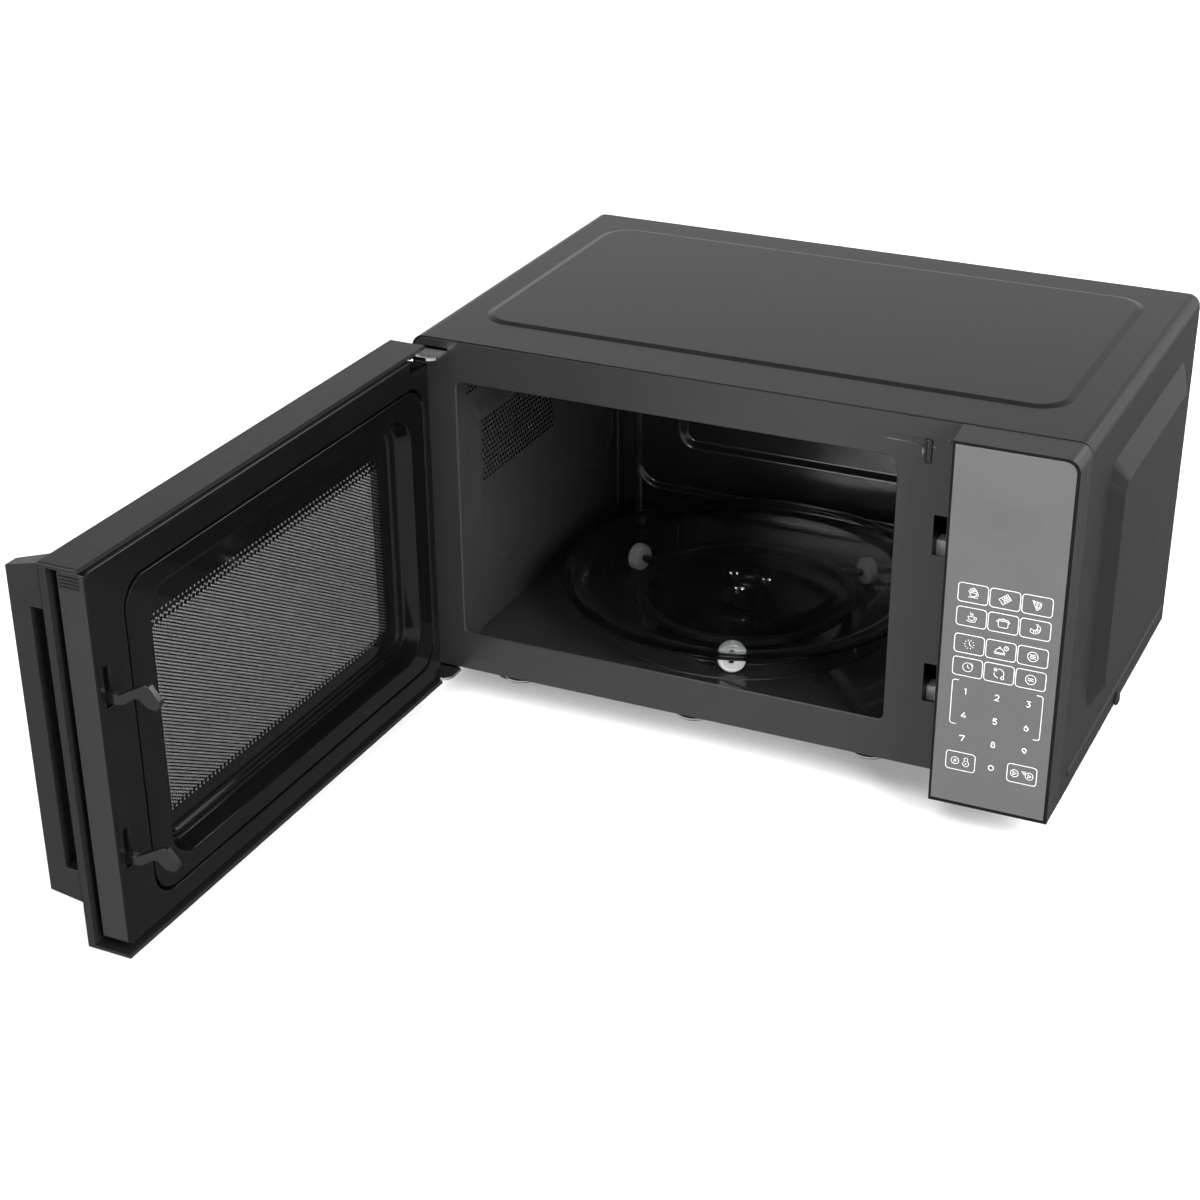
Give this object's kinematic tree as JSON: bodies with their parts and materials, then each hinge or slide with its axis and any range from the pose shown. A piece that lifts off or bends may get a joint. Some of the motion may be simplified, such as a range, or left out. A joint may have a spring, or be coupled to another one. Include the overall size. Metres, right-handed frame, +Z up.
{
  "type": "microwave oven",
  "caption": "Countertop microwave oven, standing with its side-hinged door open to show the glass turntable tray, roller ring, door hooks, window screen and touch panel.",
  "frame": {"origin": "centre of the footprint of the whole object with its door open, on the surface it stands on", "axes": "+Z up, the cabinet's front faces -Y, +X to the right for someone facing the front"},
  "size_m": [0.4828, 0.6604, 0.2582],
  "materials": {
    "satin_black_steel": "satin black powder coat",
    "dark_enamel": "black enamel, semi-gloss",
    "black_plastic": "fine-grained black",
    "gloss_black": "polished black",
    "galvanised_steel": "zinc coated",
    "bright_steel": "bright nickel plate",
    "white_plastic": "off-white",
    "panel_glass": "grey half-mirror glass over black",
    "tray_glass": "clear",
    "door_glass": "black glass",
    "clear_film": "clear film",
    "black_rubber": "matt",
    "copper_winding": "enamelled copper wire",
    "circuit_board": "green solder mask",
    "ceramic": "pink alumina",
    "mica": "silvery brown mica",
    "fin_aluminium": "bare"
  },
  "bodies": {
    "cabinet": {"outer_cover": "satin_black_steel", "front_plate": "satin_black_steel", "cavity_liner": "dark_enamel", "base_plate": "galvanised_steel", "rear_panel": "galvanised_steel", "foot_1": "black_rubber", "foot_2": "black_rubber", "foot_3": "black_rubber", "foot_4": "black_rubber", "control_panel_housing": "black_plastic", "control_glass": "panel_glass", "touch_film": "clear_film", "display_module": "gloss_black", "control_board": "circuit_board", "turntable_motor": "galvanised_steel", "interlock_bracket": "white_plastic", "micro_switch_1": "black_plastic", "micro_switch_2": "black_plastic", "micro_switch_3": "black_plastic", "waveguide": "galvanised_steel", "magnetron_yoke": "galvanised_steel", "magnetron_tube": "fin_aluminium", "magnetron_antenna": "ceramic", "waveguide_cover": "mica", "transformer_core": "galvanised_steel", "transformer_winding": "copper_winding", "hv_capacitor": "galvanised_steel", "hv_diode": "black_plastic", "line_filter_board": "circuit_board", "thermal_cutout_1": "black_plastic", "thermal_cutout_2": "black_plastic", "lamp_holder": "white_plastic", "cavity_lamp": "tray_glass", "fan_shroud": "black_plastic", "fan_motor": "galvanised_steel", "air_duct": "black_plastic", "cord_gland": "black_rubber", "side_screw": "bright_steel", "rear_screw_1": "bright_steel", "rear_screw_2": "bright_steel", "hinge_bracket_upper": "bright_steel", "hinge_bracket_lower": "bright_steel"},
    "door": {"door_frame": "black_plastic", "door_glass": "door_glass", "choke_cover": "gloss_black", "door_panel": "dark_enamel", "door_film": "clear_film", "door_handle": "black_plastic", "latch_spring": "bright_steel"},
    "latch": {"latch_lever": "gloss_black"},
    "coupler": {"turntable_coupler": "black_plastic"},
    "tray": {"glass_tray": "tray_glass"},
    "ring": {"roller_ring": "black_plastic"},
    "wheel_1": {"roller_1": "white_plastic"},
    "wheel_2": {"roller_2": "white_plastic"},
    "wheel_3": {"roller_3": "white_plastic"},
    "fan": {"fan_blade": "black_plastic"},
    "plunger_1": {"switch_plunger_1": "white_plastic"},
    "plunger_2": {"switch_plunger_2": "white_plastic"},
    "plunger_3": {"switch_plunger_3": "white_plastic"}
  },
  "joints": [
    {"name": "door_hinge", "type": "hinge", "parent": "cabinet", "child": "door", "pos_m": [-0.19981, 0.02634, 0.1364], "axis": [0, 0, 1], "range_deg": [-12, 90.9]},
    {"name": "latch_lift", "type": "slide", "parent": "door", "child": "latch", "axis": [0, 0, 1], "range_m": [0, 0.006], "stiffness_N_per_m": 150, "springref_m": -0.01, "deforming": ["latch_spring"]},
    {"name": "turntable_spin", "type": "hinge", "parent": "cabinet", "child": "coupler", "pos_m": [-0.02841, 0.18064, 0.045], "axis": [0, 0, 1], "continuous": true},
    {"name": "tray_lift", "type": "slide", "parent": "coupler", "child": "tray", "axis": [0, 0, 1], "range_m": [0, 0.06]},
    {"name": "roller_ring_spin", "type": "hinge", "parent": "cabinet", "child": "ring", "pos_m": [-0.02841, 0.18064, 0.0448], "axis": [0, 0, 1], "continuous": true},
    {"name": "roller_1_spin", "type": "hinge", "parent": "ring", "child": "wheel_1", "pos_m": [0.03689, 0.24826, 0.0448], "axis": [0.6947, 0.7193, 0], "continuous": true},
    {"name": "roller_2_spin", "type": "hinge", "parent": "ring", "child": "wheel_2", "pos_m": [-0.11961, 0.20338, 0.0448], "axis": [-0.9703, 0.2419, 0], "continuous": true},
    {"name": "roller_3_spin", "type": "hinge", "parent": "ring", "child": "wheel_3", "pos_m": [-0.0025, 0.09028, 0.0448], "axis": [0.2756, -0.9613, 0], "continuous": true},
    {"name": "fan_spin", "type": "hinge", "parent": "cabinet", "child": "fan", "pos_m": [0.18039, 0.30064, 0.158], "axis": [0, 1, 0], "continuous": true},
    {"name": "plunger_1_press", "type": "slide", "parent": "cabinet", "child": "plunger_1", "axis": [0, 1, 0], "range_m": [0, 0.0015], "stiffness_N_per_m": 400, "springref_m": -0.002},
    {"name": "plunger_2_press", "type": "slide", "parent": "cabinet", "child": "plunger_2", "axis": [0, 1, 0], "range_m": [0, 0.0015], "stiffness_N_per_m": 400, "springref_m": -0.002},
    {"name": "plunger_3_press", "type": "slide", "parent": "cabinet", "child": "plunger_3", "axis": [0, 1, 0], "range_m": [0, 0.0015], "stiffness_N_per_m": 400, "springref_m": -0.002}
  ],
  "couplings": [
    {"joint": "roller_ring_spin", "follows": "turntable_spin", "ratio": 0.5},
    {"joint": "roller_1_spin", "follows": "turntable_spin", "ratio": -4.9474},
    {"joint": "roller_2_spin", "follows": "turntable_spin", "ratio": -4.9474},
    {"joint": "roller_3_spin", "follows": "turntable_spin", "ratio": -4.9474}
  ]
}
